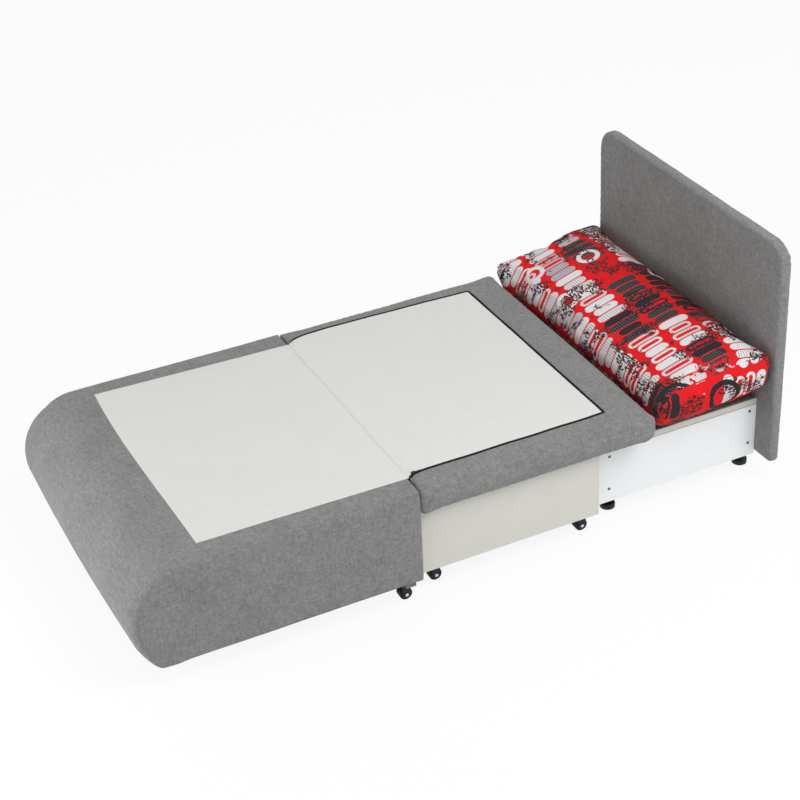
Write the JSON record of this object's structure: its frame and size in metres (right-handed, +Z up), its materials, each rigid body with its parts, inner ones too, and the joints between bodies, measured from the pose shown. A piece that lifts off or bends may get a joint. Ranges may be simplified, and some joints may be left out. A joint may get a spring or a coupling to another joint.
{
  "type": "chair bed",
  "caption": "Pull-out chair bed, laid flat: fixed rear box with padded headboard, telescoping middle box and upholstered front section on rollers, hinged seat pad and a loose pillow.",
  "frame": {"origin": "centre of the overall bounding box, at floor level", "axes": "+Y from the nose of the front section to the headboard, +X to the side, +Z up"},
  "size_m": [0.9, 1.859, 0.727],
  "materials": {
    "grey_cloth": "woven grey melange upholstery cloth",
    "cream_cloth": "smooth pale cream cotton",
    "dark_lining": "thin grey-brown non-woven cloth",
    "red_cotton": null,
    "foam": "open-cell upholstery foam",
    "white_board": "white melamine-faced chipboard",
    "pale_board": "pale cream melamine-faced chipboard",
    "raw_board": "plain chipboard and plywood",
    "hardboard": "thin bent hardboard",
    "black_plastic": "matt black moulded plastic",
    "roller_rubber": "black roller tread",
    "white_plastic": "smooth white slide plastic",
    "grey_plastic": "plain grey moulded plastic",
    "zinc_steel": "zinc-plated steel",
    "black_metal": "black enamelled metal"
  },
  "bodies": {
    "rear_unit": {"headboard_board": "raw_board", "headboard_bolts": "zinc_steel", "headboard_cover": "grey_cloth", "headboard_foam": "foam", "rear_back_panel": "white_board", "rear_back_screws": "zinc_steel", "rear_corner_blocks": "raw_board", "rear_feet": "black_plastic", "rear_front_panel": "white_board", "rear_front_screws": "zinc_steel", "rear_side_panel_left": "white_board", "rear_side_panel_right": "white_board", "rear_stops": "raw_board", "rear_top_board": "pale_board", "rear_top_lining": "dark_lining"},
    "middle_box": {"middle_deck": "pale_board", "middle_front_axles": "zinc_steel", "middle_front_forks": "black_metal", "middle_front_panel": "pale_board", "middle_rear_axles": "zinc_steel", "middle_rear_forks": "black_metal", "middle_side_panel_left": "pale_board", "middle_side_panel_right": "pale_board", "middle_slide_strips": "white_plastic", "middle_stops": "raw_board"},
    "front_section": {"front_base_board": "raw_board", "front_cover": "grey_cloth", "front_cross_panel": "raw_board", "front_deck": "raw_board", "front_lining": "cream_cloth", "front_nose_foam": "foam", "front_nose_ribs": "raw_board", "front_nose_skin": "hardboard", "front_rear_axles": "zinc_steel", "front_rear_forks": "black_metal", "front_roller_blocks": "grey_plastic", "front_side_foam": "foam", "front_side_panel_left": "raw_board", "front_side_panel_right": "raw_board", "front_slide_strips": "white_plastic", "front_stops": "raw_board", "front_top_foam": "foam", "hinge_seam": "cream_cloth", "nose_axles": "zinc_steel", "nose_forks": "black_metal"},
    "seat_pad": {"pad_cover": "grey_cloth", "pad_foam": "foam", "pad_lining": "cream_cloth", "pad_zip": "black_plastic", "zip_pull": "black_metal"},
    "pillow": {"pillow": "red_cotton"},
    "front_rear_rollers": {"front_rear_rollers": "roller_rubber"},
    "middle_front_rollers": {"middle_front_rollers": "roller_rubber"},
    "middle_rear_rollers": {"middle_rear_rollers": "roller_rubber"},
    "nose_rollers": {"nose_rollers": "roller_rubber"}
  },
  "joints": [
    {"name": "fold", "type": "slide", "parent": "rear_unit", "child": "middle_box", "axis": [0, 1, 0], "range_m": [0, 0.51]},
    {"name": "front_slide", "type": "slide", "parent": "middle_box", "child": "front_section", "axis": [0, 1, 0], "range_m": [0, 0.5375]},
    {"name": "pad_fold", "type": "hinge", "parent": "front_section", "child": "seat_pad", "pos_m": [0, -0.1565, 0.3458], "axis": [1, 0, 0], "range_deg": [0, 180]},
    {"name": "middle_front_roll", "type": "hinge", "parent": "middle_box", "child": "middle_front_rollers", "pos_m": [0, -0.0905, 0.0175], "axis": [1, 0, 0], "range_deg": [-1680, 0]},
    {"name": "middle_rear_roll", "type": "hinge", "parent": "middle_box", "child": "middle_rear_rollers", "pos_m": [0, 0.3465, 0.0175], "axis": [1, 0, 0], "range_deg": [-1680, 0]},
    {"name": "front_rear_roll", "type": "hinge", "parent": "front_section", "child": "front_rear_rollers", "pos_m": [0, -0.1935, 0.0175], "axis": [1, 0, 0], "range_deg": [-3440, 0]},
    {"name": "nose_roll", "type": "hinge", "parent": "front_section", "child": "nose_rollers", "pos_m": [0, -0.8015, 0.0175], "axis": [1, 0, 0], "range_deg": [-3440, 0]},
    {"name": "pillow_turn", "type": "hinge", "parent": "rear_unit", "child": "pillow", "pos_m": [0, 0.9024, 0.4272], "axis": [-1, 0, 0], "range_deg": [0, 90], "deforming": ["pillow"]}
  ],
  "couplings": [
    {"joint": "front_slide", "follows": "fold", "ratio": 1.0539},
    {"joint": "pad_fold", "follows": "fold", "rad_per_m": 6.16},
    {"joint": "middle_front_roll", "follows": "fold", "rad_per_m": -57.143},
    {"joint": "middle_rear_roll", "follows": "fold", "rad_per_m": -57.143},
    {"joint": "front_rear_roll", "follows": "fold", "rad_per_m": -117.37},
    {"joint": "nose_roll", "follows": "fold", "rad_per_m": -117.37},
    {"joint": "pillow_turn", "follows": "fold", "rad_per_m": 3.08}
  ]
}
